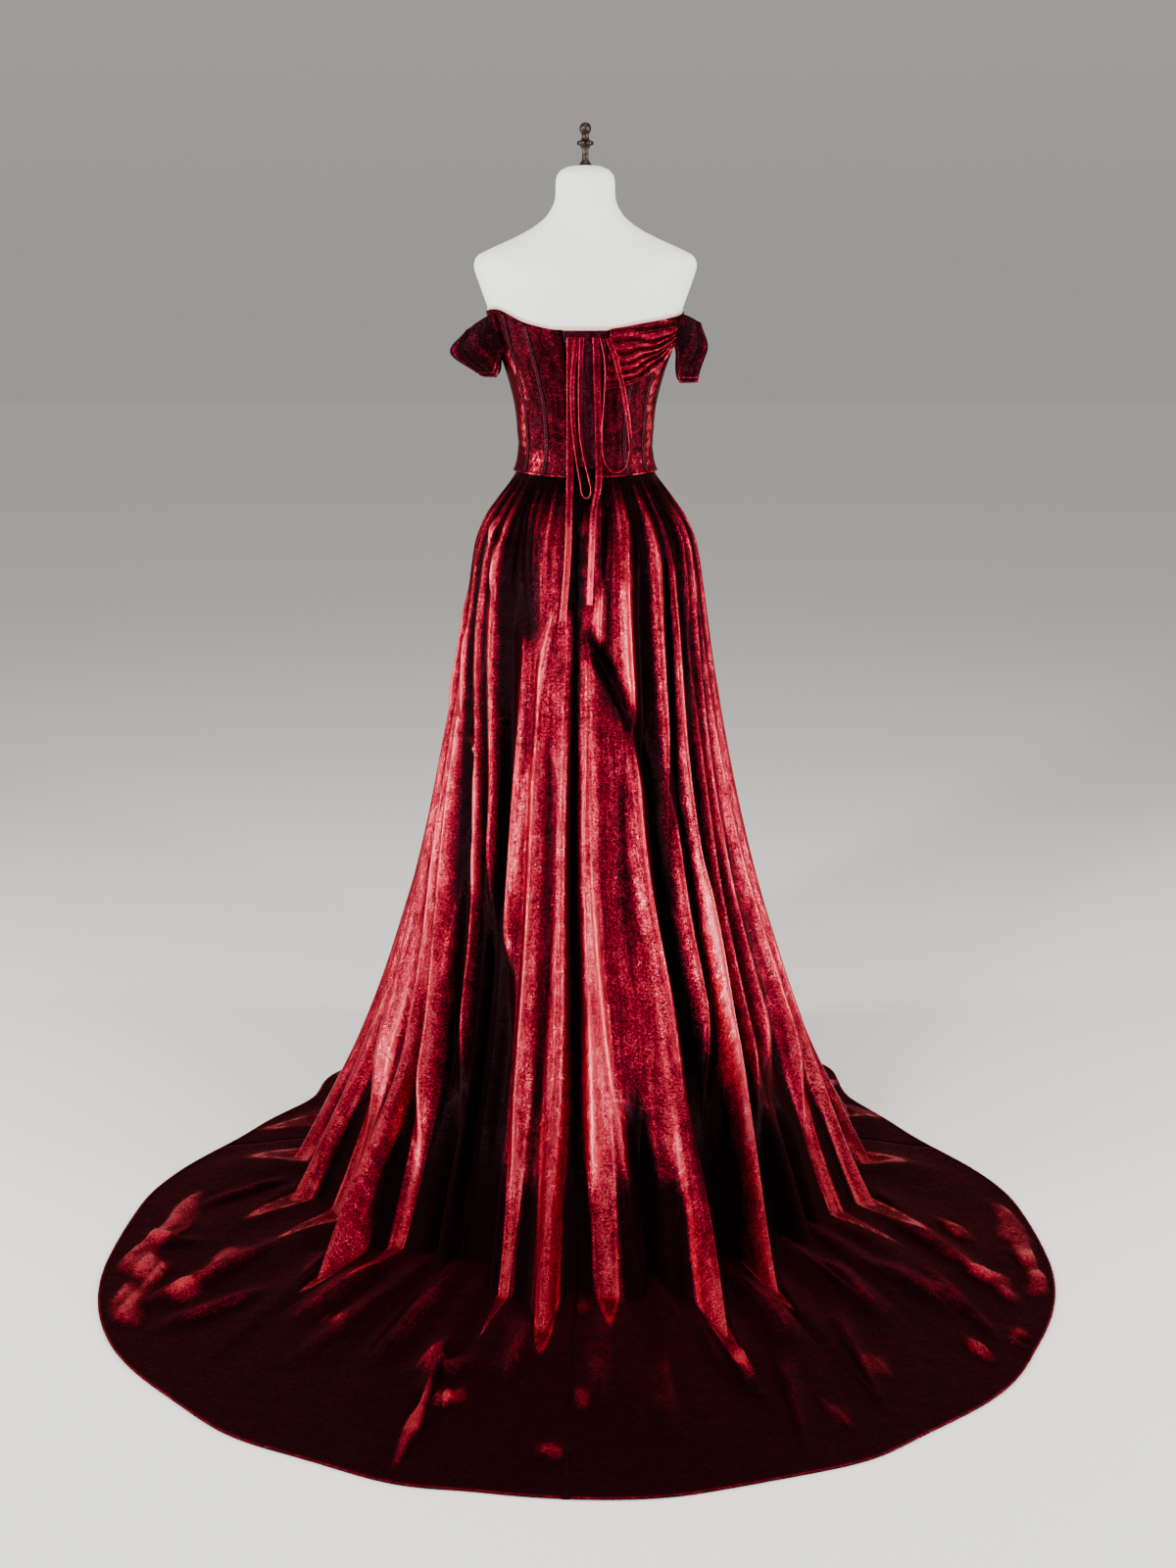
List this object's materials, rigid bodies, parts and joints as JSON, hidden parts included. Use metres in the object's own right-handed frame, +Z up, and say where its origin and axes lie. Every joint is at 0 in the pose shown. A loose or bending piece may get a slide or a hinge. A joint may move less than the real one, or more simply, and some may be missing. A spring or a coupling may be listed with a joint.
{
  "type": "prom dress on dress form",
  "caption": "Off-shoulder A-line prom dress with boned, ribbon-tied bodice, folded skirt and round train, worn by a limbless dress form on a stand.",
  "frame": {"origin": "on the floor in the middle of the stand's round base", "axes": "+Z up; the front of the dress faces -Y and the train runs out to +Y"},
  "size_m": [1.4236, 1.9368, 1.7003],
  "materials": {
    "shimmer_velvet": "deep crimson shimmer velvet with a short crushed pile and a glossy sheen",
    "dark_velvet": "near-black crimson velvet in shade",
    "velvet_ribbon": "narrow crimson velvet ribbon",
    "satin_lining": "pale pink satin lining",
    "form_jersey": "matt off-white jersey stretched over foam",
    "dark_metal": "blackened turned metal, satin"
  },
  "bodies": {
    "root": {"form_torso": "form_jersey", "form_finial": "dark_metal", "form_pole": "dark_metal", "form_base": "dark_metal", "skirt_back_right": "shimmer_velvet", "skirt_back_left": "shimmer_velvet", "skirt_front": "shimmer_velvet", "bodice_back_left": "shimmer_velvet", "bodice_side_back_left": "shimmer_velvet", "bodice_side_left": "shimmer_velvet", "bodice_side_front_left": "shimmer_velvet", "bodice_back_right": "shimmer_velvet", "bodice_side_back_right": "shimmer_velvet", "bodice_side_right": "shimmer_velvet", "bodice_side_front_right": "shimmer_velvet", "bodice_front": "shimmer_velvet", "channel_back_left": "dark_velvet", "channel_side_back_left": "dark_velvet", "channel_back_right": "dark_velvet", "channel_side_back_right": "dark_velvet", "modesty_panel": "dark_velvet", "back_placket": "dark_velvet", "lining_edge": "satin_lining", "swag_back_right": "shimmer_velvet", "sleeve_left": "shimmer_velvet", "sleeve_right": "shimmer_velvet", "ribbon_tail_left": "velvet_ribbon", "ribbon_tail_right": "velvet_ribbon", "ribbon_loop_left": "velvet_ribbon", "ribbon_loop_right": "velvet_ribbon"}
  },
  "joints": []
}
